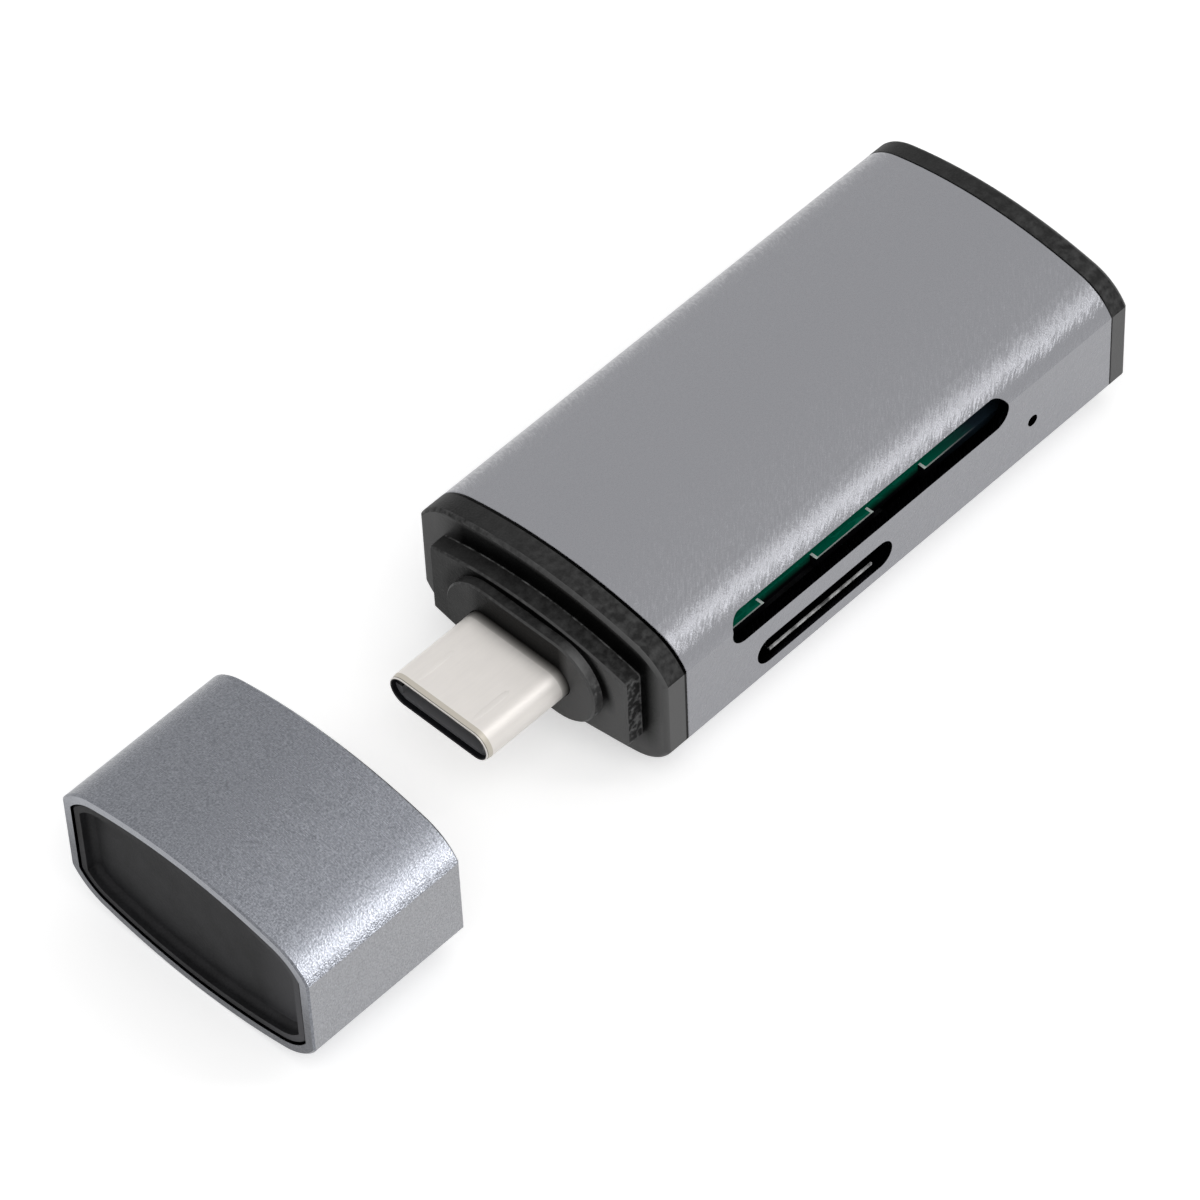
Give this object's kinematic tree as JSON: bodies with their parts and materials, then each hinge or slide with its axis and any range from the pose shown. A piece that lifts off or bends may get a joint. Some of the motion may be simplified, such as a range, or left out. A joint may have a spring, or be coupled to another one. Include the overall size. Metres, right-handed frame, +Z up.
{
  "type": "usb memory card reader",
  "caption": "Memory card reader stick with a USB-C plug: crowned grey aluminium sleeve, black moulded ends, large and small card slots in one flank, and a matching pull-off cap.",
  "frame": {"origin": "under the middle of the reader with its cap pulled off and laid in line before the plug, at the level it rests on", "axes": "+X along the length, from the plug towards the rear plate; the card slots are in the -Y flank; +Z up"},
  "size_m": [0.071, 0.0204, 0.0119],
  "materials": {
    "anodised_aluminium": "bead-blasted and grey anodised",
    "black_plastic": "fine moulded texture",
    "plug_steel": "satin nickel plate",
    "socket_steel": "stamped tin plate",
    "insulator_plastic": "moulded",
    "contact_gold": "gold plate",
    "board_green": "solder mask",
    "chip_epoxy": "moulded epoxy",
    "ceramic": "fired ceramic",
    "led_resin": "clear resin"
  },
  "bodies": {
    "reader": {"sleeve": "anodised_aluminium", "front_plate": "black_plastic", "rear_plate": "black_plastic", "plug_shell": "plug_steel", "plug_insulator": "insulator_plastic", "plug_contacts": "contact_gold", "plug_latches": "socket_steel", "circuit_board": "board_green", "sd_socket_housing": "insulator_plastic", "sd_socket_cover": "socket_steel", "sd_contacts": "contact_gold", "microsd_base": "insulator_plastic", "microsd_shell": "socket_steel", "microsd_contacts": "contact_gold", "status_led": "led_resin", "controller_chip": "chip_epoxy", "crystal": "socket_steel", "voltage_regulator": "chip_epoxy", "capacitors": "ceramic", "resistors": "chip_epoxy"},
    "cap": {"cap_shell": "anodised_aluminium", "cap_insert": "black_plastic"}
  },
  "joints": [
    {"name": "cap_slide", "type": "slide", "parent": "reader", "child": "cap", "axis": [1, 0, 0], "range_m": [0, 0.01705]}
  ]
}
